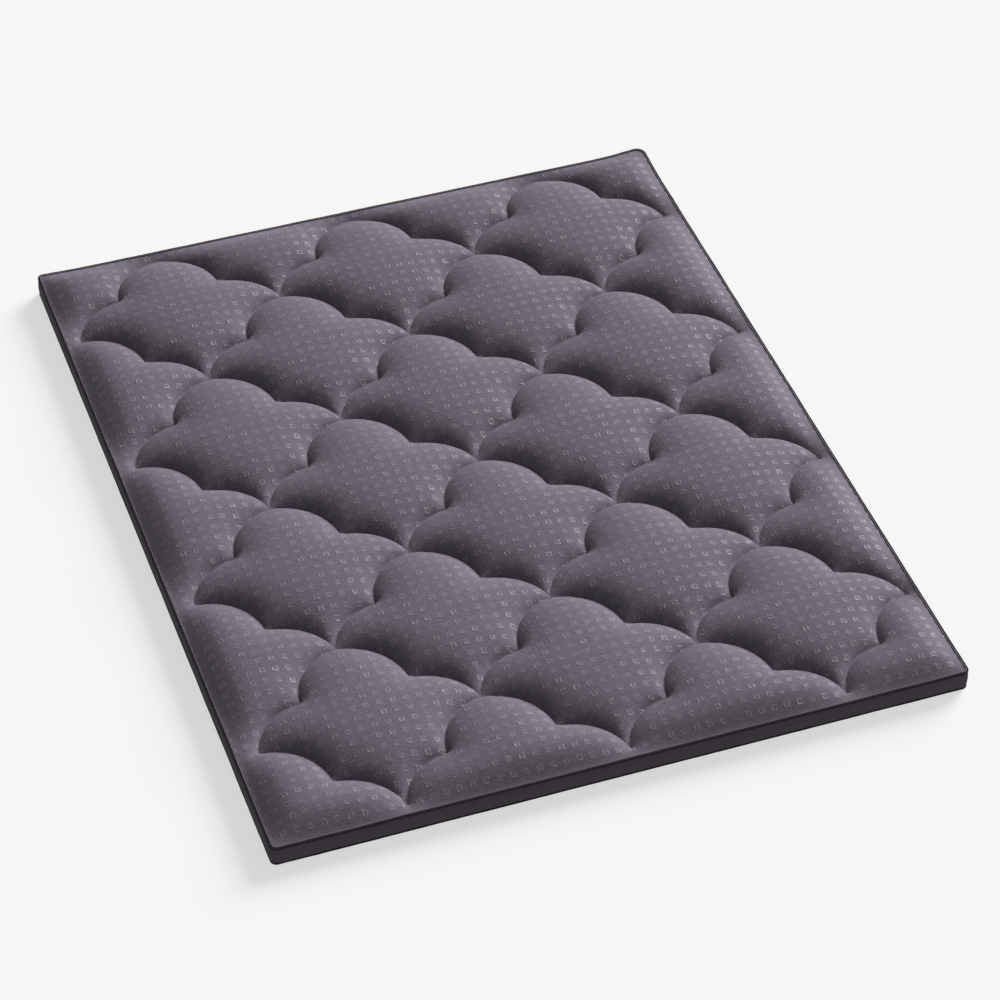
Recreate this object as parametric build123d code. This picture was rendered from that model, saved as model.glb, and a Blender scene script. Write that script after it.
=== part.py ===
from build123d import *
import os

# A double-bed memory foam topper mattress: a two-layer foam core in a sewn
# cover with a quilted top, a plain border, a raised piping round the top panel
# and a dark binding round the top and bottom edges.
#
# Millimetres. Origin: centre of the underside, on the surface it lies on.
# +X across the width, +Y along the length, towards the head, +Z up.

# Driving dimensions
WIDTH = 1600
LENGTH = 2000
BORDER_TOP = 50          # top of the piping above the floor
CROWN = 86               # top of the quilted puffs
CORNER = 20              # plan radius of the outer corners

# Quilting pattern: rows of scales, each with a round head and two side lobes,
# set half a pitch apart from row to row.
PITCH_X = 500
PITCH_Y = 484
NOTCH_X = 123            # where head and lobe meet, from the top of the scale
NOTCH_Y = -135
HEAD_RADIUS = 140
LOBE_RADIUS = 135
VALLEY = 45.0            # top of the wadding under the stitches
GROOVES = ((30, 62), (74, 74), (118, CROWN - 1.2))   # width and top of each step
SHOULDER = 14            # how far each step stands in from the one below, at the edge

# Cloth and thread
FACE_CLOTH = 1.2
BACK_CLOTH = 1.2
BACKING = 0.8
BORDER_CLOTH = 1.5
LINING = 3.7
THREAD = 0.6
QUILT_THREAD = 1.2

# Edge trims: the light piping stands just inside the dark top binding
PIPING_RADIUS = 1.8
PIPING_CORD_RADIUS = 1.1
PIPING_FLANGE = 0.8
TOP_BINDING_RADIUS = 2.0
TOP_BINDING_HEIGHT = 47.2
BINDING_RADIUS = 2.2
BORDER_HIGH = TOP_BINDING_HEIGHT - TOP_BINDING_RADIUS
BORDER_LOW = 2 * BINDING_RADIUS

# Foam core
BASE_FOAM_TOP = 15
CORE_EDGE_TOP = 30       # the core is thinner at its rim, where the cover pulls it down
CORE_MIDDLE_TOP = 38
CORE_SLOPE = 110         # how far in from the rim the full thickness is reached

# Distance of each layer's outer face from the outside of the mattress
LINING_INSET = 2.5
FLANGE_INSET = LINING_INSET + LINING
THREAD_INSET = FLANGE_INSET + PIPING_FLANGE
COVER_INSET = THREAD_INSET + THREAD
CORE_INSET = COVER_INSET + FACE_CLOTH
PIPING_INSET = 2 * TOP_BINDING_RADIUS + PIPING_RADIUS


def outline(inset):
    """The plan of the mattress, set in from its outside."""
    radius = max(CORNER - inset, 5)
    return RectangleRounded(WIDTH - 2 * inset, LENGTH - 2 * inset, radius)


def slab(inset, low, high):
    return extrude(Pos(0, 0, low) * outline(inset), high - low)


def ring(outer, thickness, low, high):
    return slab(outer, low, high) - slab(outer + thickness, low - 1, high + 1)


def rim_tube(inset, height, radius):
    """A round bar that follows the plan of the mattress."""
    path = outline(inset).wire()
    start = path @ 0
    section = Plane(origin=(start.X, start.Y, height), z_dir=path % 0) * Circle(radius)
    return sweep(section, path=Pos(0, 0, height) * path)


def crowned(edge_top, low):
    """A slab whose top slopes up from its rim to a flat middle."""
    rise = CORE_MIDDLE_TOP - CORE_EDGE_TOP
    body = slab(CORE_INSET, low, edge_top)
    rim = Pos(0, 0, edge_top) * outline(CORE_INSET)
    middle = Pos(0, 0, edge_top + rise) * outline(CORE_INSET + CORE_SLOPE)
    return body + loft([rim, middle])


def scale_side(x, y, side):
    """One side of a scale: the arc of its head, then the arc of its lobe."""
    top = (x, y)
    notch = (x + side * NOTCH_X, y + NOTCH_Y)
    corner = (x + side * PITCH_X / 2, y - PITCH_Y / 2)
    head = RadiusArc(top, notch, side * HEAD_RADIUS)
    lobe = RadiusArc(notch, corner, side * LOBE_RADIUS)
    return [head, lobe]


def stitched_sides():
    """The top point of every scale, with each of its sides that lies on the panel."""
    found = []
    for row in range(4):
        y = (2 - row) * PITCH_Y
        tops = [(column * PITCH_X, y) for column in (-1, 0, 1)]
        tops += [(column * PITCH_X, y - PITCH_Y / 2) for column in (-1.5, -0.5, 0.5, 1.5)]
        found += [(x, top, side) for x, top in tops for side in (-1, 1)]
    return [(x, y, side) for x, y, side in found if abs(x + side * PITCH_X / 4) < WIDTH / 2]


def stitch_band(width):
    """The whole stitching pattern as one flat band of this width."""
    strips = []
    for x, y, side in stitched_sides():
        for arc in scale_side(x, y, side):
            strips.append(trace(arc, line_width=width))
            strips.append(Pos(arc @ 0) * Circle(width / 2))
            strips.append(Pos(arc @ 1) * Circle(width / 2))
    return Sketch() + strips


def puffed(grow, low):
    """The quilted panel: a slab with its puffs, all faces moved out by grow."""
    inset = CORE_INSET - grow
    body = slab(inset, low, VALLEY + grow)
    bottom = VALLEY + grow
    edge = inset
    for width, top in GROOVES:
        plan = outline(edge) - stitch_band(width - 2 * grow)
        body += extrude(Pos(0, 0, bottom) * plan, top + grow - bottom)
        bottom = top + grow
        edge += SHOULDER
    return body


def make_bottom_fabric():
    return slab(BORDER_LOW + 0.1, 0, BACK_CLOTH)


def make_bottom_binding():
    return rim_tube(BINDING_RADIUS, BINDING_RADIUS, BINDING_RADIUS)


def make_bottom_seam_thread():
    return ring(THREAD_INSET, THREAD, BACK_CLOTH, BACK_CLOTH + THREAD)


def make_border_join_thread():
    height = BORDER_HIGH - BORDER_LOW
    seam = Box(THREAD, BORDER_CLOTH, height, align=(Align.CENTER, Align.MAX, Align.MIN))
    return Pos(0, LENGTH / 2, BORDER_LOW) * seam


def make_side_border():
    """One strip of cloth whose ends meet at the middle of the head end."""
    return ring(0, BORDER_CLOTH, BORDER_LOW, BORDER_HIGH) - make_border_join_thread()


def make_border_lining():
    return ring(LINING_INSET, LINING, BORDER_LOW, BORDER_HIGH)


def make_base_foam():
    return slab(CORE_INSET, BACK_CLOTH + THREAD, BASE_FOAM_TOP)


def make_memory_foam():
    return crowned(CORE_EDGE_TOP, BASE_FOAM_TOP)


def make_quilt_backing():
    return crowned(CORE_EDGE_TOP + BACKING, BASE_FOAM_TOP) - make_memory_foam()


def make_quilt_wadding():
    return puffed(0, CORE_EDGE_TOP) - crowned(CORE_EDGE_TOP + BACKING, BASE_FOAM_TOP)


def make_top_fabric():
    """The face cloth, with its seam allowance turned down behind the border."""
    return puffed(FACE_CLOTH, CORE_EDGE_TOP) - puffed(0, CORE_EDGE_TOP - 1)


def make_quilting_thread():
    surface = VALLEY + FACE_CLOTH
    return extrude(Pos(0, 0, surface) * stitch_band(QUILT_THREAD), THREAD)


def make_top_seam_thread():
    return ring(THREAD_INSET, THREAD, BORDER_HIGH - 5, BORDER_HIGH - 5 + THREAD)


def make_top_binding():
    return rim_tube(TOP_BINDING_RADIUS, TOP_BINDING_HEIGHT, TOP_BINDING_RADIUS)


def make_top_piping_cord():
    return rim_tube(PIPING_INSET, BORDER_TOP - PIPING_RADIUS, PIPING_CORD_RADIUS)


def make_top_piping():
    """A strip folded round the cord, with its flange sewn in behind the border."""
    height = BORDER_TOP - PIPING_RADIUS
    flange = ring(FLANGE_INSET, PIPING_FLANGE, BORDER_HIGH - 10, height)
    tube = rim_tube(PIPING_INSET, height, PIPING_RADIUS)
    return flange + tube - make_top_piping_cord()


PIECES = {
    "bottom_fabric": make_bottom_fabric,
    "bottom_binding": make_bottom_binding,
    "bottom_seam_thread": make_bottom_seam_thread,
    "side_border": make_side_border,
    "border_join_thread": make_border_join_thread,
    "border_lining": make_border_lining,
    "base_foam": make_base_foam,
    "memory_foam": make_memory_foam,
    "quilt_backing": make_quilt_backing,
    "quilt_wadding": make_quilt_wadding,
    "top_fabric": make_top_fabric,
    "quilting_thread": make_quilting_thread,
    "top_seam_thread": make_top_seam_thread,
    "top_binding": make_top_binding,
    "top_piping": make_top_piping,
    "top_piping_cord": make_top_piping_cord,
}


os.makedirs("parts", exist_ok=True)
for name, make in PIECES.items():
    export_step(make(), f"parts/{name}.step")
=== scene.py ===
import bpy
import math
import numpy as np
from mathutils import Matrix, Vector, kdtree, noise
from mathutils.bvhtree import BVHTree
from mathutils.geometry import delaunay_2d_cdt


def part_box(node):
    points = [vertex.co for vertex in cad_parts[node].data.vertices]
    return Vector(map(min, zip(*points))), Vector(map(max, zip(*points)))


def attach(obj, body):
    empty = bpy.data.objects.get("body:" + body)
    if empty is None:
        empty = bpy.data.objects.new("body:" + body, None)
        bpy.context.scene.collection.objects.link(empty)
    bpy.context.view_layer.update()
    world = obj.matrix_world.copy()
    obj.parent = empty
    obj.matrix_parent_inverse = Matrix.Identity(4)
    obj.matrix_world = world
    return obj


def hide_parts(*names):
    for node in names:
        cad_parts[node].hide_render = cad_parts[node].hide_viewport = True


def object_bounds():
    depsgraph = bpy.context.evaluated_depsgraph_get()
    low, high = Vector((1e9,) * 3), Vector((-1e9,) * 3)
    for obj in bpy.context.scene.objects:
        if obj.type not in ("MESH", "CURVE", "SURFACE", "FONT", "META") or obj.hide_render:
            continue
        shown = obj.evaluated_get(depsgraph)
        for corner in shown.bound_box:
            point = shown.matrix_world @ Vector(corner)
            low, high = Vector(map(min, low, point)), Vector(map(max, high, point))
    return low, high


# A memory foam topper mattress: quilted top, plain border, piping and binding.
# +X across the width, +Y towards the head, +Z up, from the centre of the underside.

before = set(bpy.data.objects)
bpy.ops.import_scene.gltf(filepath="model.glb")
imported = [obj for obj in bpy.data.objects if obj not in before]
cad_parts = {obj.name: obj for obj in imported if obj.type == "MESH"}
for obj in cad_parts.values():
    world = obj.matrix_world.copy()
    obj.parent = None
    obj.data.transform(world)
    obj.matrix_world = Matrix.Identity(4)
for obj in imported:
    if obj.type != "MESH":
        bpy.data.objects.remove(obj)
CAD_LOW, CAD_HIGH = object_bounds()

# Sizes, in metres. The outside comes from the frame.
MM = 0.001
HALF_W = CAD_HIGH.x
HALF_L = CAD_HIGH.y
BORDER_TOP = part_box("top_piping")[1].z
BORDER_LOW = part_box("side_border")[0].z
BORDER_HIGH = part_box("side_border")[1].z
CORNER = 15 * MM              # plan radius of the outer corners
SOFT_CORNER = 26 * MM         # the rounder one at the head end, on the right
TIGHTEST_CORNER = 5 * MM      # of anything set in from the outside
CORNER_LIFTS = (              # which corner, as signs of x and y, and how far it stands up
    (1, 1, 8 * MM), (-1, 1, 4 * MM), (-1, -1, 1 * MM), (1, -1, 1.5 * MM),
)

# Quilting pattern: scales with a round head and two side lobes
PITCH_X = 500 * MM
PITCH_Y = 484 * MM
NOTCH = (123 * MM, -135 * MM)
HEAD_RADIUS = 140 * MM
LOBE_RADIUS = 135 * MM
SKEW = np.array(((1.010, -0.0105), (-0.0007, 0.998)))   # the quilter's small errors in the pattern
SHIFT = np.array((6.0, 3.0)) * MM

# Edge trims: a dark binding outside, a light piping just inside it
BINDING_RADIUS = 2.0 * MM
BINDING_INSET = 1.8 * MM
LOW_BINDING_RADIUS = 2.15 * MM
LOW_BINDING_INSET = 2.0 * MM
PIPING_RADIUS = 1.75 * MM
PIPING_INSET = 5.8 * MM
CORD_RADIUS = 1.0 * MM
BORDER_CLOTH = 0.7 * MM       # least thickness of the side border

# Quilt shape
PANEL_INSET = 7.6 * MM        # where the panel meets the piping
PANEL_EDGE_Z = 48.4 * MM
VALLEY_Z = 49 * MM            # height of the stitches in the middle
VALLEY_DROP = 9.5 * MM        # how much lower they are near the edges
DROP_REACH = 90 * MM
SPREAD = 48 * MM              # how quickly a puff rises from its stitches
BASE_SPREAD = 300 * MM        # how smoothly the valleys' height runs on under the puffs
SHOULDER = 0.87               # under 1 makes the walls steep and the crown flat
RIM_SLOPE = 1.3               # over 1 makes the walls along the edge of the panel gentle
RIM_REACH = 70 * MM
PUFF = 40 * MM                # from the stitches to the top of the largest puffs
FACE_CLOTH = 1.2 * MM
QUILT_STITCH = 4.8 * MM
SQUARE_PITCH = 30 * MM        # of the woven squares
SQUARE_PHASE = (0.0, 0.8)     # where they fall, in parts of their pitch

# Light: the key's share and the room's share of what falls on the floor
KEY_LIGHT = 0.70
ROOM_LIGHT = 0.28
HORIZON_LIGHT = 0.9           # of the room's walls, low down
LEFT_SHARE = 0.55             # how much of it comes from each side
RIGHT_SHARE = 1.04
KEY_ELEVATION = 25            # degrees above the floor
KEY_TURN = 55                 # degrees from the head end towards the right side
KEY_SPREAD = 30               # degrees across

# Camera, in degrees and metres
CAMERA_TURN = -19.8316        # from the foot end towards the right side
CAMERA_ELEVATION = 42.6597
CAMERA_ROLL = 0.5687
CAMERA_DISTANCE = 8.3748
CAMERA_TARGET = (0.0277, -0.0882, 0)
LENS = 129.81                 # millimetres

# Mesh rows on each side of a line of stitching, and along the edge of the panel
ROWS = [d * MM for d in (1.6, 3.6, 6.2, 9.6, 14, 20, 27.5, 36)]
STITCH_STEP = 6 * MM
FIELD_STEP = 11 * MM
EDGE_ROWS = [d * MM for d in (0, 1.2, 2.8, 5.2, 9, 15, 22)]
EDGE_STEP = 7 * MM
TRIM_STEP = 4 * MM


# ---------------------------------------------------------------- small helpers

def new_object(name, points, faces):
    mesh = bpy.data.meshes.new(name)
    mesh.from_pydata([tuple(p) for p in points], [], [tuple(f) for f in faces])
    mesh.update()
    mesh.shade_smooth()
    piece = bpy.data.objects.new(name, mesh)
    bpy.context.scene.collection.objects.link(piece)
    return piece


def smoothstep(low, high, value):
    t = np.clip((value - low) / (high - low), 0, 1)
    return t * t * (3 - 2 * t)


def corner_radius(x, y):
    return np.where((np.asarray(x) > 0) & (np.asarray(y) > 0), SOFT_CORNER, CORNER)


def rounded_outline(inset, step):
    """Points round the plan of the mattress, set in from its outside, anticlockwise."""
    points = []
    for sx, sy, start in ((1, -1, -90), (1, 1, 0), (-1, 1, 90), (-1, -1, 180)):
        radius = max(corner_radius(sx, sy) - inset, TIGHTEST_CORNER)
        centre = np.array((sx * (HALF_W - inset - radius), sy * (HALF_L - inset - radius)))
        count = max(4, round(radius * math.pi / 2 / step))
        for k in range(count + 1):
            angle = math.radians(start + 90 * k / count)
            points.append(centre + radius * np.array((math.cos(angle), math.sin(angle))))
    closed = []
    for here, ahead in zip(points, points[1:] + points[:1]):
        count = max(1, round(np.linalg.norm(ahead - here) / step))
        closed += [here + (ahead - here) * k / count for k in range(count)]
    return np.array(closed)


def edge_distance(xy):
    """How far points are inside the plan of the panel."""
    radius = np.maximum(corner_radius(xy[:, 0], xy[:, 1]) - PANEL_INSET, TIGHTEST_CORNER)
    half = np.array((HALF_W - PANEL_INSET, HALF_L - PANEL_INSET)) - radius[:, None]
    q = np.abs(xy) - half
    outside = np.linalg.norm(np.maximum(q, 0), axis=1)
    inside = np.minimum(q.max(axis=1), 0)
    return radius - outside - inside


# ---------------------------------------------------------------- stitch pattern

def arc(start, end, radius, side, step):
    """Evenly spaced points on the arc from start to end that bulges up and to that side."""
    start, end = np.array(start, float), np.array(end, float)
    chord = end - start
    length = np.linalg.norm(chord)
    out = np.array((-chord[1], chord[0])) / length * side
    centre = (start + end) / 2 - out * math.sqrt(radius ** 2 - length ** 2 / 4)
    a0 = math.atan2(*(start - centre)[::-1])
    a1 = math.atan2(*(end - centre)[::-1])
    turn = (a1 - a0 + math.pi) % (2 * math.pi) - math.pi
    count = max(2, round(abs(turn) * radius / step))
    angles = a0 + turn * np.arange(count + 1) / count
    return centre + radius * np.stack([np.cos(angles), np.sin(angles)], 1)


def scale_side(x, y, side, step):
    """One side of a scale from its top: head arc, then lobe arc."""
    notch = (x + side * NOTCH[0], y + NOTCH[1])
    corner = (x + side * PITCH_X / 2, y - PITCH_Y / 2)
    head = arc((x, y), notch, HEAD_RADIUS, side, step)
    lobe = arc(notch, corner, LOBE_RADIUS, side, step)
    return np.concatenate([head, lobe[1:]])


def stitch_lines(step):
    """Every line of stitching: the sides of the scales that lie on the panel."""
    lines = []
    for row in range(4):
        y = (2 - row) * PITCH_Y
        tops = [(column * PITCH_X, y) for column in (-1, 0, 1)]
        tops += [(column * PITCH_X, y - PITCH_Y / 2) for column in (-1.5, -0.5, 0.5, 1.5)]
        for x, top in tops:
            for side in (-1, 1):
                if abs(x + side * PITCH_X / 4) < HALF_W:
                    lines.append(scale_side(x, top, side, step) @ SKEW.T + SHIFT)
    return lines


# ---------------------------------------------------------------- quilt surface

def tree_of(points):
    tree = kdtree.KDTree(len(points))
    for k, p in enumerate(points):
        tree.insert((p[0], p[1], 0), k)
    tree.balance()
    return tree


def nearest(tree, points):
    return np.array([tree.find((p[0], p[1], 0))[2] for p in points])


def thin_out(points, gap):
    """Keeps points that are at least gap from those kept before them."""
    tree = tree_of(points)
    kept = np.ones(len(points), bool)
    for k, p in enumerate(points):
        if kept[k]:
            for _, other, _ in tree.find_range((p[0], p[1], 0), gap):
                if other > k:
                    kept[other] = False
    return points[kept]


def triangulate(points):
    """The Delaunay triangles of plan points, facing up."""
    made = delaunay_2d_cdt([Vector(p) for p in points], [], [], 0, 1e-6, False)
    points = np.array([tuple(p) for p in made[0]])
    tris = np.array([f for f in made[2] if len(f) == 3])
    a, b, c = (points[tris[:, k]] for k in range(3))
    turn = (b - a)[:, 0] * (c - a)[:, 1] - (b - a)[:, 1] * (c - a)[:, 0]
    tris[turn < 0] = tris[turn < 0][:, ::-1]
    return points, tris


def rows_beside_stitches(scale, stitches_near):
    """Points in rows on both sides of the stitching, closer together near to it."""
    rows = []
    for distance in ROWS:
        step = max(STITCH_STEP * scale, distance * 0.42)
        row = []
        for line in stitch_lines(step):
            along = np.gradient(line, axis=0)
            along /= np.linalg.norm(along, axis=1)[:, None]
            across = np.stack([-along[:, 1], along[:, 0]], 1)
            row += [line + across * distance, line - across * distance]
        row = np.concatenate(row)
        row = row[nearest(stitches_near, row) > distance * 0.93]
        rows.append(thin_out(row, step * 0.6))
    rows = np.concatenate(rows)
    return rows[edge_distance(rows) > 2.5 * MM]


def rows_inside_edge(scale, stitches_near):
    rows = []
    for distance in EDGE_ROWS[1:]:
        row = rounded_outline(PANEL_INSET + distance, EDGE_STEP * scale)
        rows.append(row[nearest(stitches_near, row) > 3 * MM])
    return np.concatenate(rows)


def field_points(scale, stitches_near):
    """An even triangular grid over what the rows leave free."""
    step = FIELD_STEP * scale
    rise = FIELD_STEP * scale * 0.866
    i, j = np.meshgrid(np.arange(int(2 * HALF_W / step) + 1), np.arange(int(2 * HALF_L / rise) + 1))
    field = np.stack([
        ((i + (j % 2) * 0.5) * FIELD_STEP * scale - HALF_W).ravel(),
        (j * FIELD_STEP * scale * 0.866 - HALF_L).ravel(),
    ], 1)
    field = field[edge_distance(field) > EDGE_ROWS[-1] + FIELD_STEP * 0.5]
    return field[nearest(stitches_near, field) > ROWS[-1] + FIELD_STEP * scale * 0.5]


def quilt_mesh(scale):
    """A triangle mesh of the panel whose edges follow the stitching and the panel's edge.
    Gives the plan points, the triangles, and which points are stitched or on the edge."""
    stitched = thin_out(np.concatenate(stitch_lines(STITCH_STEP * scale)), STITCH_STEP * scale * 0.4)
    stitches_near = tree_of(np.concatenate(stitch_lines(1.5 * MM)))
    border = rounded_outline(PANEL_INSET, EDGE_STEP * scale)
    rest = np.concatenate([
        rows_beside_stitches(scale, stitches_near),
        rows_inside_edge(scale, stitches_near),
        field_points(scale, stitches_near),
    ])
    points, tris = triangulate(np.concatenate([border, stitched, thin_out(rest, 1.2 * MM)]))
    tris = tris[edge_distance(points[tris].mean(axis=1)) > 0.05 * MM]
    used = np.unique(tris)
    remap = -np.ones(len(points), int)
    remap[used] = np.arange(len(used))
    points, tris = points[used], remap[tris]
    pinned = nearest(tree_of(stitched), points) < 0.1 * MM
    rim = edge_distance(points) < 0.1 * MM
    return points, tris, pinned, rim


def stiffness(points, tris):
    """Cotangent weights of the mesh: both ends and weight of every edge, and the area per point."""
    ends, weights = [], []
    area = np.zeros(len(points))
    for k in range(3):
        o, p, q = tris[:, k], tris[:, (k + 1) % 3], tris[:, (k + 2) % 3]
        u, v = points[p] - points[o], points[q] - points[o]
        cross = np.abs(u[:, 0] * v[:, 1] - u[:, 1] * v[:, 0])
        cot = (u * v).sum(axis=1) / np.maximum(cross, 1e-12)
        ends.append(np.stack([p, q], 1))
        weights.append(np.maximum(cot, 1e-4) / 2)
        np.add.at(area, o, cross / 6)
    return np.concatenate(ends), np.concatenate(weights), area


def solve(ends, weights, mass, load, fixed, values, rounds=900):
    """Conjugate gradients for (mass + stiffness) x = load, with x held at values where fixed."""
    n = len(mass)
    i, j = ends[:, 0], ends[:, 1]
    diagonal = mass + np.bincount(i, weights, n) + np.bincount(j, weights, n)

    def apply(x):
        return diagonal * x - np.bincount(i, weights * x[j], n) - np.bincount(j, weights * x[i], n)

    x = np.where(fixed, values, 0.0)
    residual = np.where(fixed, 0.0, load - apply(x))
    step = residual / diagonal
    rho = residual @ step
    start = rho
    for _ in range(rounds):
        image = np.where(fixed, 0.0, apply(step))
        alpha = rho / (step @ image)
        x += alpha * step
        residual -= alpha * image
        pre = residual / diagonal
        rho_new = residual @ pre
        if rho_new < 1e-12 * start:
            break
        step = pre + rho_new / rho * step
        rho = rho_new
    return x


def valley_height(xy):
    inside = edge_distance(xy)
    return VALLEY_Z - VALLEY_DROP * np.exp(-(inside / DROP_REACH) ** 2)


def quilt_heights(points, tris, pinned, rim):
    """The height of each point: stitches held down, everything else puffed up between them."""
    ends, weights, area = stiffness(points, tris)
    fixed = pinned | rim
    held = np.where(rim, PANEL_EDGE_Z, valley_height(points))
    mass = area / BASE_SPREAD ** 2
    base = solve(ends, weights, mass, mass * VALLEY_Z, fixed, held)
    base += edge_rise(points)
    mass = area / SPREAD ** 2
    puff = solve(ends, weights, mass, mass, fixed, np.zeros(len(area)))
    puff = np.clip(puff, 0, 1)
    puff /= np.percentile(puff, 99.8)
    gentle = RIM_SLOPE - (RIM_SLOPE - SHOULDER) * smoothstep(0, RIM_REACH, edge_distance(points))
    return base + PUFF * np.clip(puff, 0, 1.02) ** gentle


def closed(outer, inner, tris):
    """Points and faces of the solid between two surfaces that share these triangles."""
    count = len(outer)
    edges = np.concatenate([tris[:, [0, 1]], tris[:, [1, 2]], tris[:, [2, 0]]])
    codes = edges[:, 0] * count + edges[:, 1]
    back = edges[:, 1] * count + edges[:, 0]
    faces = [tuple(t) for t in tris] + [tuple(t) for t in tris[:, ::-1] + count]
    faces += [(b, a, a + count, b + count) for a, b in edges[~np.isin(codes, back)]]
    return np.concatenate([outer, inner]), faces


def shell(points, tris, thickness):
    """A closed cloth from its outer surface: a copy of it moved in, joined round the rim."""
    return closed(points, points - vertex_normals(points, tris) * thickness, tris)


def vertex_normals(points, tris):
    a, b, c = (points[tris[:, k]] for k in range(3))
    face = np.cross(b - a, c - a)
    normals = np.zeros_like(points)
    for k in range(3):
        np.add.at(normals, tris[:, k], face)
    return normals / np.linalg.norm(normals, axis=1)[:, None]


# ---------------------------------------------------------------- materials

def node(tree, kind, inputs=(), **settings):
    """A shader node; inputs maps socket name or number to a value or another socket."""
    made = tree.nodes.new(kind)
    for key, value in settings.items():
        setattr(made, key, value)
    for key, value in dict(inputs).items():
        if isinstance(value, bpy.types.NodeSocket):
            tree.links.new(value, made.inputs[key])
        else:
            made.inputs[key].default_value = value
    return made


def maths(tree, operation, *values):
    return node(tree, "ShaderNodeMath", dict(enumerate(values)), operation=operation).outputs[0]


def new_material(name):
    material = bpy.data.materials.new(name)
    material.use_nodes = True
    tree = material.node_tree
    tree.nodes.clear()
    shader = node(tree, "ShaderNodeBsdfPrincipled")
    out = node(tree, "ShaderNodeOutputMaterial")
    tree.links.new(shader.outputs[0], out.inputs["Surface"])
    return material, tree, shader


def stretched(tree, where, *scales):
    """The position, scaled differently along each axis."""
    return node(tree, "ShaderNodeVectorMath", {0: where, 1: scales}, operation="MULTIPLY").outputs[0]


def lattice(tree, where, pitch, phases):
    """Position inside each cell of a square lattice, from -0.5 to 0.5, and the cell's chances."""
    split = node(tree, "ShaderNodeSeparateXYZ", {0: where})
    wobble = node(tree, "ShaderNodeTexNoise", {"Vector": where, "Scale": 55.0, "Detail": 1.0})
    shift = node(tree, "ShaderNodeSeparateXYZ", {0: wobble.outputs["Color"]})
    local, cells = [], []
    for k, phase in enumerate(phases):
        along = maths(tree, "MULTIPLY_ADD", split.outputs[k], 1 / pitch, 200 + phase)
        cells.append(maths(tree, "FLOOR", along))
        bent = maths(tree, "MULTIPLY_ADD", shift.outputs[k], 0.1, maths(tree, "FRACT", along))
        local.append(maths(tree, "SUBTRACT", bent, 0.55))
    index = node(tree, "ShaderNodeCombineXYZ", {0: cells[0], 1: cells[1]}).outputs[0]
    chance = node(tree, "ShaderNodeTexWhiteNoise", {"Vector": index})
    colour = node(tree, "ShaderNodeSeparateColor", {0: chance.outputs["Color"]})
    return local, [chance.outputs["Value"], *colour.outputs[:3]]


def ramp(tree, value, start, end, low, high, smooth=False):
    kind = "SMOOTHSTEP" if smooth else "LINEAR"
    return node(tree, "ShaderNodeMapRange", {
        "Value": value, "From Min": start, "From Max": end, "To Min": low, "To Max": high,
    }, interpolation_type=kind).outputs[0]


def mixed(tree, factor, low, high):
    """A number that goes from low to high with the factor."""
    return node(tree, "ShaderNodeMix", {0: factor, 2: low, 3: high}).outputs[0]


def blended(tree, factor, low, high):
    """A colour that goes from low to high with the factor."""
    return node(tree, "ShaderNodeMix", {0: factor, 6: low, 7: high}, data_type="RGBA").outputs[2]


def woven_squares_with_painted_light(tree, where):
    """Hollow squares on a lattice, faintly filled, each with sides of its own strength. The left and
    front sides are stronger on average: painted light on the walls of each hollow square that the key
    lamp lights.
    """
    half_side = 0.17              # in parts of the pitch
    (x, y), chances = lattice(tree, where, SQUARE_PITCH, SQUARE_PHASE)
    ax, ay = maths(tree, "ABSOLUTE", x), maths(tree, "ABSOLUTE", y)
    reach = maths(tree, "MAXIMUM", ax, ay)
    off_line = maths(tree, "ABSOLUTE", maths(tree, "SUBTRACT", reach, half_side))
    stroke = ramp(tree, off_line, 0.09, 0.02, 0.0, 1.0, smooth=True)
    filling = ramp(tree, reach, 0.2, 0.14, 0.0, 0.28, smooth=True)
    # painted light: the left and front sides get higher strengths, so they come out lighter, as lit
    # walls would
    left, right, low, high = (
        ramp(tree, chance, 0.0, 1.0, weak, strong)
        for chance, weak, strong in zip(chances, (0.4, -0.15, 0.35, -0.1), (1.2, 0.95, 1.2, 1.0))
    )
    upright = mixed(tree, maths(tree, "GREATER_THAN", x, 0.0), left, right)
    level = mixed(tree, maths(tree, "GREATER_THAN", y, 0.0), low, high)
    side_strength_with_painted_light = mixed(tree, maths(tree, "GREATER_THAN", ax, ay), level, upright)
    side = maths(tree, "MAXIMUM", side_strength_with_painted_light, 0.0)
    worn = node(tree, "ShaderNodeTexNoise", {"Vector": where, "Scale": 150.0, "Detail": 1.0})
    patchy = ramp(tree, worn.outputs["Fac"], 0.32, 0.62, 0.3, 1.2)
    outline = maths(tree, "MULTIPLY", stroke, side)
    return maths(tree, "MULTIPLY", maths(tree, "MAXIMUM", outline, filling), patchy)


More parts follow.
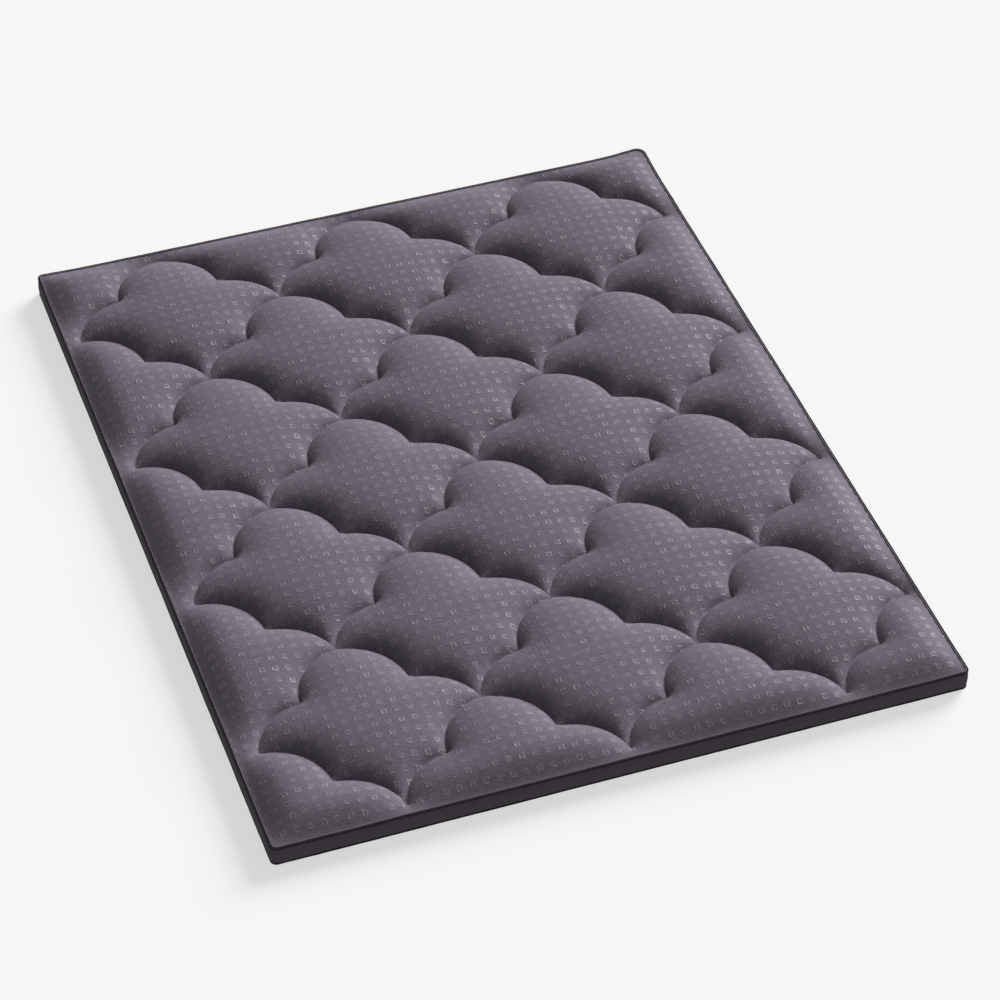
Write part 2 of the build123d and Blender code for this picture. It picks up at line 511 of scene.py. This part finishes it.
def face_cloth():
    """Grey-mauve jacquard knit: fine streaks across the width and hollow woven squares."""
    material, tree, shader = new_material("face_cloth")
    where = node(tree, "ShaderNodeTexCoord").outputs["Object"]
    squares_with_painted_light = woven_squares_with_painted_light(tree, where)
    across = stretched(tree, where, 0.22, 1.0, 1.0)
    streak = node(tree, "ShaderNodeTexNoise", {"Vector": across, "Scale": 380.0, "Detail": 3.0})
    courses = node(tree, "ShaderNodeTexWave", {
        "Vector": where, "Scale": 300.0, "Distortion": 2.5, "Detail": 2.0, "Detail Scale": 2.0,
    }, wave_type="BANDS", bands_direction="Y", wave_profile="SIN")
    loops = node(tree, "ShaderNodeTexVoronoi", {"Vector": where, "Scale": 850.0})
    fuzz = node(tree, "ShaderNodeTexNoise", {"Vector": where, "Scale": 480.0, "Detail": 3.0})
    mottle = node(tree, "ShaderNodeTexNoise", {"Vector": where, "Scale": 11.0, "Detail": 5.0})

    yarn = maths(tree, "MULTIPLY_ADD", courses.outputs["Fac"], 0.2,
                 maths(tree, "MULTIPLY", fuzz.outputs["Fac"], 0.25))
    knit = maths(tree, "MULTIPLY_ADD", ramp(tree, streak.outputs["Fac"], 0.32, 0.68, 0, 1), 0.6, yarn)
    ground = blended(tree, knit, (0.080, 0.067, 0.090, 1), (0.176, 0.151, 0.195, 1))
    uneven = blended(tree, maths(tree, "MULTIPLY", mottle.outputs["Fac"], 0.25),
                     ground, (0.140, 0.121, 0.152, 1))
    # the squares lighten the colour, most on their left and front sides: partly the woven pattern,
    # partly painted light
    colour = blended(tree, maths(tree, "MULTIPLY", squares_with_painted_light, 0.27), uneven, (0.33, 0.30, 0.345, 1))
    tree.links.new(colour, shader.inputs["Base Color"])

    surface = maths(tree, "MULTIPLY_ADD", knit, 0.3,
                    maths(tree, "MULTIPLY", loops.outputs["Distance"], 0.12))
    relief = maths(tree, "ADD", squares_with_painted_light, surface)
    bump = node(tree, "ShaderNodeBump", {"Strength": 0.9, "Distance": 0.7 * MM, "Height": relief})
    tree.links.new(bump.outputs[0], shader.inputs["Normal"])
    tree.links.new(ramp(tree, squares_with_painted_light, 0.0, 1.0, 0.85, 0.46), shader.inputs["Roughness"])
    shader.inputs["Specular IOR Level"].default_value = 0.35
    shader.inputs["Sheen Weight"].default_value = 0.05
    shader.inputs["Sheen Roughness"].default_value = 0.35
    shader.inputs["Sheen Tint"].default_value = (0.85, 0.8, 0.9, 1)
    return material


def plain_cloth(name, dark, light, rib_scale=320.0, direction="Z", sheen=0.15, rough=0.9):
    """A fine plain knit or tape with ribs along one direction."""
    material, tree, shader = new_material(name)
    where = node(tree, "ShaderNodeTexCoord").outputs["Object"]
    ribs = node(tree, "ShaderNodeTexWave", {
        "Vector": where, "Scale": rib_scale, "Distortion": 2.0, "Detail": 2.0,
    }, wave_type="BANDS", bands_direction=direction, wave_profile="SIN")
    fuzz = node(tree, "ShaderNodeTexNoise", {"Vector": where, "Scale": 500.0, "Detail": 3.0})
    mottle = node(tree, "ShaderNodeTexNoise", {"Vector": where, "Scale": 12.0, "Detail": 3.0})
    knit = maths(tree, "MULTIPLY_ADD", ribs.outputs["Fac"], 0.3,
                 maths(tree, "MULTIPLY", fuzz.outputs["Fac"], 0.5))
    blend = maths(tree, "MULTIPLY_ADD", mottle.outputs["Fac"], 0.3, knit)
    colour = blended(tree, blend, (*dark, 1), (*light, 1))
    tree.links.new(colour, shader.inputs["Base Color"])
    bump = node(tree, "ShaderNodeBump", {"Strength": 0.6, "Distance": 0.3 * MM, "Height": knit})
    tree.links.new(bump.outputs[0], shader.inputs["Normal"])
    shader.inputs["Roughness"].default_value = rough
    shader.inputs["Specular IOR Level"].default_value = 0.12
    shader.inputs["Sheen Weight"].default_value = sheen
    shader.inputs["Sheen Roughness"].default_value = 0.5
    return material


def foam(name, dark, light, cell=700.0):
    """Open-celled foam: fine pores over a slightly uneven colour."""
    material, tree, shader = new_material(name)
    where = node(tree, "ShaderNodeTexCoord").outputs["Object"]
    pores = node(tree, "ShaderNodeTexVoronoi", {"Vector": where, "Scale": cell})
    mottle = node(tree, "ShaderNodeTexNoise", {"Vector": where, "Scale": 20.0, "Detail": 4.0})
    blend = maths(tree, "MULTIPLY_ADD", mottle.outputs["Fac"], 0.5,
                  maths(tree, "MULTIPLY", pores.outputs["Distance"], 0.5))
    colour = blended(tree, blend, (*dark, 1), (*light, 1))
    tree.links.new(colour, shader.inputs["Base Color"])
    bump = node(tree, "ShaderNodeBump", {
        "Strength": 0.5, "Distance": 0.5 * MM, "Height": pores.outputs["Distance"],
    })
    tree.links.new(bump.outputs[0], shader.inputs["Normal"])
    shader.inputs["Roughness"].default_value = 0.95
    shader.inputs["Specular IOR Level"].default_value = 0.2
    return material


def fleece(name, dark, light):
    """Matted fibres, as in wadding and spunbonded backing."""
    material, tree, shader = new_material(name)
    where = node(tree, "ShaderNodeTexCoord").outputs["Object"]
    fibres = node(tree, "ShaderNodeTexNoise", {
        "Vector": where, "Scale": 180.0, "Detail": 8.0, "Roughness": 0.7, "Distortion": 1.5,
    })
    colour = blended(tree, fibres.outputs["Fac"], (*dark, 1), (*light, 1))
    tree.links.new(colour, shader.inputs["Base Color"])
    bump = node(tree, "ShaderNodeBump", {
        "Strength": 0.7, "Distance": 0.6 * MM, "Height": fibres.outputs["Fac"],
    })
    tree.links.new(bump.outputs[0], shader.inputs["Normal"])
    shader.inputs["Roughness"].default_value = 0.95
    shader.inputs["Sheen Weight"].default_value = 0.3
    return material


def floor_material():
    """A pale matte floor, seen through from below so that the underside can be looked at."""
    material, tree, shader = new_material("floor")
    shader.inputs["Base Color"].default_value = (0.34, 0.34, 0.34, 1)
    shader.inputs["Roughness"].default_value = 0.9
    shader.inputs["Specular IOR Level"].default_value = 0.0
    shader.inputs["Emission Color"].default_value = (1, 1, 1, 1)
    shader.inputs["Emission Strength"].default_value = 0.605
    below = node(tree, "ShaderNodeNewGeometry").outputs["Backfacing"]
    clear = node(tree, "ShaderNodeBsdfTransparent")
    either = node(tree, "ShaderNodeMixShader", {
        0: below, 1: shader.outputs[0], 2: clear.outputs[0],
    })
    tree.links.new(either.outputs[0], tree.nodes["Material Output"].inputs["Surface"])
    return material


def piping_cloth():
    return plain_cloth("piping_cloth", (0.088, 0.075, 0.094), (0.17, 0.148, 0.178), rib_scale=420.0)


def border_cloth():
    return plain_cloth("border_cloth", (0.040, 0.034, 0.042), (0.080, 0.068, 0.083), sheen=0.0)


def binding_tape():
    return plain_cloth("binding_tape", (0.013, 0.011, 0.014), (0.030, 0.026, 0.032),
                       rib_scale=600.0, sheen=0.0, rough=0.95)


def underside_cloth():
    return plain_cloth("underside_cloth", (0.05, 0.045, 0.053), (0.08, 0.07, 0.085),
                       rib_scale=300.0, direction="Y")


def quilting_yarn():
    return plain_cloth("thread", (0.1, 0.09, 0.11), (0.2, 0.18, 0.22))


def dark_yarn():
    return plain_cloth("dark_thread", (0.02, 0.018, 0.02), (0.05, 0.045, 0.05))


# ---------------------------------------------------------------- pieces

def declare(piece, material, slot, *nodes):
    """The piece rides on the mattress, stands for these CAD nodes and takes this material."""
    piece.data.materials.append(material)
    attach(piece, "root")
    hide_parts(*nodes)
    return piece


def corner_lift(xy):
    """The cover's corners stand up a little, most of all at the head end."""
    reach = 70 * MM
    lift = np.zeros(len(xy))
    for sx, sy, height in CORNER_LIFTS:
        away = np.linalg.norm(xy - np.array((sx * HALF_W, sy * HALF_L)), axis=1)
        lift += height * np.exp(-(away / reach) ** 2)
    return lift


def edge_wave(xy, size, length, seed):
    """A gentle unevenness along the sewn edges."""
    return np.array([
        size * noise.noise(Vector((x / length, y / length, seed))) for x, y in xy
    ])


def edge_rise(xy):
    """How far the sewn edge, and the panel beside it, stands above or below its level."""
    reach = 45 * MM
    beside = np.exp(-(np.maximum(edge_distance(xy), 0) / reach) ** 2)
    return corner_lift(xy) + edge_wave(xy, 0.6 * MM, 140 * MM, 1.0) * beside


def ring_path(inset, step):
    """Points round the mattress from the middle of the head end, and their outward normals."""
    points = rounded_outline(inset, step)
    first = np.argmin(np.linalg.norm(points - np.array((0, HALF_L)), axis=1))
    points = np.roll(points, -first, axis=0)
    along = np.roll(points, -1, axis=0) - np.roll(points, 1, axis=0)
    along /= np.linalg.norm(along, axis=1)[:, None]
    return points, np.stack([along[:, 1], -along[:, 0]], 1)


def sweep_ring(path, normals, out, up):
    """A tube round the mattress. out and up give each section's points, outwards and in height."""
    count, sides = out.shape
    xy = path[:, None, :] + normals[:, None, :] * out[:, :, None]
    points = np.concatenate([xy, up[:, :, None]], axis=2).reshape(-1, 3)
    faces = []
    for i in range(count):
        j = (i + 1) % count
        for k in range(sides):
            m = (k + 1) % sides
            faces.append((j * sides + k, j * sides + m, i * sides + m, i * sides + k))
    return points, faces


def stitches(name, starts, ends, radius, dip):
    """Separate stitches: thin rounded bows of thread from each start to each end."""
    sides, rings = 5, 4
    across = np.array(ends) - np.array(starts)
    length = np.linalg.norm(across, axis=1)[:, None]
    along = across / length
    up = np.array((0, 0, 1.0)) - along * along[:, 2:3]
    up /= np.linalg.norm(up, axis=1)[:, None]
    side = np.cross(up, along)
    blocks = []
    for ring in range(rings):
        t = ring / (rings - 1)
        bow = math.sin(math.pi * t)
        middle = starts + across * t + up * dip * (bow - 1)
        width = radius * (0.45 + 0.55 * bow ** 0.5)
        for k in range(sides):
            angle = 2 * math.pi * k / sides
            blocks.append(middle + (side * math.cos(angle) + up * math.sin(angle)) * width)
    points = np.stack(blocks, 1).reshape(-1, 3)
    faces = []
    per = sides * rings
    for n in range(len(starts)):
        base = n * per
        for ring in range(rings - 1):
            for k in range(sides):
                a, b = base + ring * sides + k, base + ring * sides + (k + 1) % sides
                faces.append((a, b, b + sides, a + sides))
        faces.append(tuple(base + k for k in range(sides))[::-1])
        faces.append(tuple(base + (rings - 1) * sides + k for k in range(sides)))
    return new_object(name, points, faces)


def spaced_line(line, step):
    """The same line as points an even step apart."""
    lengths = np.concatenate([[0], np.cumsum(np.linalg.norm(np.diff(line, axis=0), axis=1))])
    count = max(1, round(lengths[-1] / step))
    at = np.linspace(0, lengths[-1], count + 1)
    return np.stack([np.interp(at, lengths, line[:, k]) for k in range(line.shape[1])], 1)


def top_fabric(points, tris):
    cloth_points, faces = shell(points, tris, FACE_CLOTH)
    piece = new_object("top_fabric_cloth", cloth_points, faces)
    declare(piece, face_cloth(), "face_cloth", "top_fabric")
    return piece


def add_skirt(points, tris, rim):
    """The panel's seam allowance, turned down behind the border."""
    ring, out = ring_path(PANEL_INSET, EDGE_STEP)
    tree = tree_of(points[rim])
    index = np.flatnonzero(rim)
    first = np.array([index[tree.find((p[0], p[1], 0))[1]] for p in ring])
    top = points[first]
    rows, added = [first], []
    for outward, drop in ((0.2 * MM, 1.2 * MM), (0.5 * MM, 4 * MM), (0.8 * MM, 10 * MM)):
        rows.append(len(points) + len(first) * len(added) + np.arange(len(first)))
        added.append(np.column_stack([top[:, :2] + out * outward, top[:, 2] - drop]))
    extra = []
    for upper, lower in zip(rows, rows[1:]):
        for k in range(len(first)):
            m = (k + 1) % len(first)
            extra.append((upper[k], lower[k], upper[m]))
            extra.append((upper[m], lower[k], lower[m]))
    return np.concatenate([points] + added), np.concatenate([tris, np.array(extra)])


def surface_sampler(points, tris):
    """A function that gives the height of this surface at x, y."""
    tree = BVHTree.FromPolygons([tuple(p) for p in points], [tuple(t) for t in tris])

    def height(x, y, missing):
        hit = tree.ray_cast(Vector((x, y, 1)), Vector((0, 0, -1)))[0]
        return missing if hit is None else hit.z

    return height


def backing_sampler():
    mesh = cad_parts["quilt_backing"].data
    mesh.calc_loop_triangles()
    return surface_sampler([v.co for v in mesh.vertices], [t.vertices for t in mesh.loop_triangles])


def wadding(plan, heights, tris, detail):
    """The fibre fill: from just under the cloth down to the backing."""
    clearance = 3 * MM
    reach = 8 * MM                # the cloth is looked up this far round each point
    backing_edge = 31 * MM
    cloth = surface_sampler(np.column_stack([plan, heights]), tris)
    backing = backing_sampler()
    points, faces, _, _ = quilt_mesh(2.2 * detail)
    points = points * (1 - clearance / np.array((HALF_W, HALF_L)))
    ring = [(math.cos(a) * reach, math.sin(a) * reach) for a in np.arange(8) * math.pi / 4]
    upper, lower = [], []
    for x, y in points:
        around = [cloth(x + dx, y + dy, PANEL_EDGE_Z) for dx, dy in [(0, 0)] + ring]
        low_z = backing(x, y, backing_edge) + 0.1 * MM
        upper.append(max(min(around) - clearance, low_z + 0.5 * MM))
        lower.append(low_z)
    solid, all_faces = closed(np.column_stack([points, upper]), np.column_stack([points, lower]), faces)
    piece = new_object("quilt_wadding_fill", solid, all_faces)
    declare(piece, fleece("wadding", (0.78, 0.78, 0.76), (0.93, 0.93, 0.91)),
            "wadding", "quilt_wadding")
    return piece


def quilting_thread(plan, heights, tris):
    """Separate stitches along every line of the pattern, lying on the cloth."""
    gap = 0.08                    # between stitches, at each end, in parts of a stitch
    cloth = surface_sampler(np.column_stack([plan, heights]), tris)
    starts, ends = [], []
    for line in stitch_lines(1.5 * MM):
        path = spaced_line(line, QUILT_STITCH)
        height = np.array([cloth(x, y, VALLEY_Z) for x, y in path]) + 0.35 * MM
        path = np.column_stack([path, height])
        along = np.diff(path, axis=0)
        starts.append(path[:-1] + along * gap)
        ends.append(path[1:] - along * gap)
    piece = stitches("quilting_stitches", np.concatenate(starts), np.concatenate(ends),
                     0.38 * MM, 0.5 * MM)
    return declare(piece, quilting_yarn(), "quilting_thread", "quilting_thread")


def ring_stitches(name, node_name, material):
    """A row of seam stitches round the mattress, where the CAD has its seam thread."""
    low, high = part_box(node_name)
    inset = HALF_W - high.x + (high.z - low.z) / 2
    ring, _ = ring_path(inset, TRIM_STEP)
    path = np.column_stack([ring, np.full(len(ring), (low.z + high.z) / 2)])
    ahead = np.roll(path, -1, axis=0) - path
    piece = stitches(name, path + ahead * 0.1, path + ahead * 0.9, 0.28 * MM, 0.15 * MM)
    return declare(piece, material, "dark_thread", node_name)


def round_section(radius, count):
    angles = 2 * math.pi * np.arange(count) / count
    return radius * np.cos(angles), radius * np.sin(angles)


def swept(name, ring, normals, out, up):
    """An object swept round the mattress, with its faces outwards."""
    points, faces = sweep_ring(ring, normals, out, up)
    return new_object(name, points, faces)


def top_piping():
    """The face cloth folded round a cord, with its flange behind the border."""
    ring, normals = ring_path(PIPING_INSET, TRIM_STEP)
    centre = BORDER_TOP + 0.2 * MM - PIPING_RADIUS + edge_rise(ring)[:, None]
    sway = edge_wave(ring, 0.5 * MM, 110 * MM, 5.0)[:, None]
    swell = 1 + edge_wave(ring, 0.1, 20 * MM, 3.0)[:, None]
    angles = np.radians([-60, -20, 20, 55, 90, 125, 160, 200, 240])
    flange_out = np.array((-1.0, -1.0, -0.2, -0.2)) * MM
    flange_up = -np.array((3.2, 12.5, 12.5, 3.2)) * MM
    flange = (len(ring), 1)
    out = np.concatenate([PIPING_RADIUS * np.cos(angles) * swell, np.tile(flange_out, flange)], 1)
    up = np.concatenate([PIPING_RADIUS * np.sin(angles) * swell, np.tile(flange_up, flange)], 1)
    piece = swept("top_piping_cloth", ring, normals, out + sway, centre + up)
    declare(piece, piping_cloth(), "piping_cloth", "top_piping")

    cord_out, cord_up = round_section(CORD_RADIUS, 8)
    cord = swept("top_piping_filler", ring, normals, cord_out + sway, centre + cord_up)
    declare(cord, fleece("piping_cord", (0.7, 0.69, 0.66), (0.88, 0.87, 0.84)),
            "piping_cord", "top_piping_cord")


def binding(name, node_name, material, inset, radius, lifted):
    """A dark tape folded over a sewn edge, a little squarish in section."""
    low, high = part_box(node_name)
    ring, normals = ring_path(inset, TRIM_STEP)
    centre = (low.z + high.z) / 2 + edge_rise(ring)[:, None] * lifted
    sway = edge_wave(ring, 0.45 * MM, 90 * MM, 13.0 + lifted)[:, None]
    swell = 1 + edge_wave(ring, 0.12, 18 * MM, 30.0 + lifted)[:, None]
    out, up = round_section(radius, 12)
    squarish = 1 + 0.07 * np.cos(4 * np.arctan2(up, out) + math.pi)
    piece = swept(name, ring, normals, out * squarish * swell + sway,
                  centre + up * squarish * swell)
    return declare(piece, material, "binding_tape", node_name)


def side_border():
    """One strip of knit round the side, a little full between its seams."""
    ring, normals = ring_path(0, TRIM_STEP)
    full = 2.4 * MM + edge_wave(ring, 1.0 * MM, 90 * MM, 9.0)
    levels = np.linspace(0, 1, 13)
    top = BORDER_HIGH + 0.8 * MM
    low = BORDER_LOW - 0.4 * MM
    wrinkle = np.array([
        [0.5 * MM * noise.noise(Vector((x / 0.05, y / 0.05, t * 1.6 + 20))) for t in levels]
        for x, y in ring
    ])
    shape = np.sin(np.pi * levels) ** 0.8
    out = -1.6 * MM + (full[:, None] + wrinkle) * shape
    up = low + (top - low) * levels + edge_rise(ring)[:, None] * levels ** 2
    inner = np.minimum(out[:, ::-1] - BORDER_CLOTH, -2.3 * MM)
    piece = swept("side_border_cloth", ring, normals, np.concatenate([out, inner], 1),
                  np.concatenate([up, up[:, ::-1]], 1))
    declare(piece, border_cloth(), "border_cloth", "side_border")
    return piece


def border_join(material):
    """The stitches that close the border strip into a ring."""
    low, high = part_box("border_join_thread")
    heights = np.arange(low.z + 1 * MM, high.z - 3 * MM, 3.2 * MM)
    y = high.y + 1.3 * MM
    starts = np.array([(-0.9 * MM, y, z) for z in heights])
    ends = np.array([(0.9 * MM, y, z + 0.8 * MM) for z in heights])
    piece = stitches("border_join_stitches", starts, ends, 0.3 * MM, 0.3 * MM)
    return declare(piece, material, "dark_thread", "border_join_thread")


def bottom_fabric():
    """The underside cloth: flat where it lies, turned up a little at its edge."""
    inset = 4.5 * MM
    rings = [rounded_outline(inset + further, step)
             for further, step in ((0, 12 * MM), (4 * MM, 14 * MM), (12 * MM, 16 * MM))]
    xs = np.arange(-HALF_W + 0.04, HALF_W - 0.03, 25 * MM)
    ys = np.arange(-HALF_L + 0.04, HALF_L - 0.03, 25 * MM)
    grid = np.array([(x, y) for x in xs for y in ys])
    points, tris = triangulate(np.concatenate(rings + [grid]))
    inside = edge_distance(points) + PANEL_INSET - inset
    height = 0.9 * MM * (1 - smoothstep(0, 6 * MM, inside))
    cloth_points, faces = shell(np.column_stack([points, height]), tris[:, ::-1], 1.1 * MM)
    piece = new_object("bottom_fabric_cloth", cloth_points, faces)
    declare(piece, underside_cloth(), "underside_cloth", "bottom_fabric")
    return piece


def dress_cad_nodes():
    """Materials for the CAD pieces that keep their own shape inside the cover."""
    looks = {
        "base_foam": foam("support_foam", (0.62, 0.66, 0.72), (0.8, 0.83, 0.87)),
        "memory_foam": foam("memory_foam", (0.78, 0.74, 0.62), (0.92, 0.89, 0.8), 1100.0),
        "quilt_backing": fleece("backing_fleece", (0.8, 0.8, 0.79), (0.93, 0.93, 0.92)),
        "border_lining": fleece("lining_fleece", (0.6, 0.6, 0.58), (0.8, 0.8, 0.78)),
    }
    for name, material in looks.items():
        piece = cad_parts[name]
        piece.data.materials.clear()
        piece.data.materials.append(material)


def build_mattress():
    detail = 1.0
    plan, tris, pinned, rim = quilt_mesh(detail)
    heights = quilt_heights(plan, tris, pinned, rim)
    whole, whole_tris = add_skirt(np.column_stack([plan, heights]), tris, rim)
    top_fabric(whole, whole_tris)
    wadding(plan, heights, tris, detail)
    quilting_thread(plan, heights, tris)
    dark = dark_yarn()
    ring_stitches("top_seam_stitches", "top_seam_thread", dark)
    ring_stitches("bottom_seam_stitches", "bottom_seam_thread", dark)
    top_piping()
    side_border()
    border_join(dark)
    tape = binding_tape()
    binding("top_binding_tape", "top_binding", tape, BINDING_INSET, BINDING_RADIUS, 1)
    binding("bottom_binding_tape", "bottom_binding", tape, LOW_BINDING_INSET, LOW_BINDING_RADIUS, 0)
    bottom_fabric()
    dress_cad_nodes()


# ---------------------------------------------------------------- stage, camera and light

def stage_and_camera():
    size = 30.0
    floor = new_object("floor", [(-size, -size, 0), (size, -size, 0), (size, size, 0), (-size, size, 0)],
                       [(0, 1, 2, 3)])
    floor.data.materials.append(floor_material())

    data = bpy.data.cameras.new("camera")
    data.sensor_width = 36
    data.lens = LENS
    data.clip_end = 100
    camera = bpy.data.objects.new("camera", data)
    bpy.context.scene.collection.objects.link(camera)
    bpy.context.scene.camera = camera
    turn, rise, roll = (math.radians(a) for a in (CAMERA_TURN, CAMERA_ELEVATION, CAMERA_ROLL))
    back = Vector((math.sin(turn) * math.cos(rise), -math.cos(turn) * math.cos(rise), math.sin(rise)))
    right = Vector((0, 0, 1)).cross(back).normalized()
    up = back.cross(right)
    rolled_right = right * math.cos(roll) + up * math.sin(roll)
    rolled_up = up * math.cos(roll) - right * math.sin(roll)
    rotation = Matrix((rolled_right, rolled_up, back)).transposed().to_4x4()
    place = Vector(CAMERA_TARGET) + back * CAMERA_DISTANCE
    camera.matrix_world = Matrix.Translation(place) @ rotation


def studio_light():
    """A broad soft key from behind and to the right, and a pale room, darker on the left."""
    world = bpy.data.worlds.new("studio")
    bpy.context.scene.world = world
    world.use_nodes = True
    tree = world.node_tree
    where = node(tree, "ShaderNodeTexCoord").outputs["Generated"]
    across, _, height = node(tree, "ShaderNodeSeparateXYZ", {0: where}).outputs
    room = ramp(tree, height, 0.02, 0.12, HORIZON_LIGHT, ROOM_LIGHT, smooth=True)
    share = ramp(tree, across, -0.9, 0.3, LEFT_SHARE, RIGHT_SHARE)
    tree.links.new(maths(tree, "MULTIPLY", room, share),
                   tree.nodes["Background"].inputs["Strength"])
    tree.nodes["Background"].inputs["Color"].default_value = (1, 1, 1, 1)

    lamp = bpy.data.lights.new("key", "SUN")
    lamp.angle = math.radians(KEY_SPREAD)
    lamp.energy = KEY_LIGHT * math.pi / math.sin(math.radians(KEY_ELEVATION))
    key = bpy.data.objects.new("key", lamp)
    bpy.context.scene.collection.objects.link(key)
    turn, rise = math.radians(KEY_TURN), math.radians(KEY_ELEVATION)
    towards = Vector((math.sin(turn) * math.cos(rise), math.cos(turn) * math.cos(rise), math.sin(rise)))
    key.rotation_mode = "QUATERNION"
    key.rotation_quaternion = towards.to_track_quat("Z", "Y")
    bpy.context.scene.view_settings.view_transform = "Standard"


stage_and_camera()
studio_light()
build_mattress()
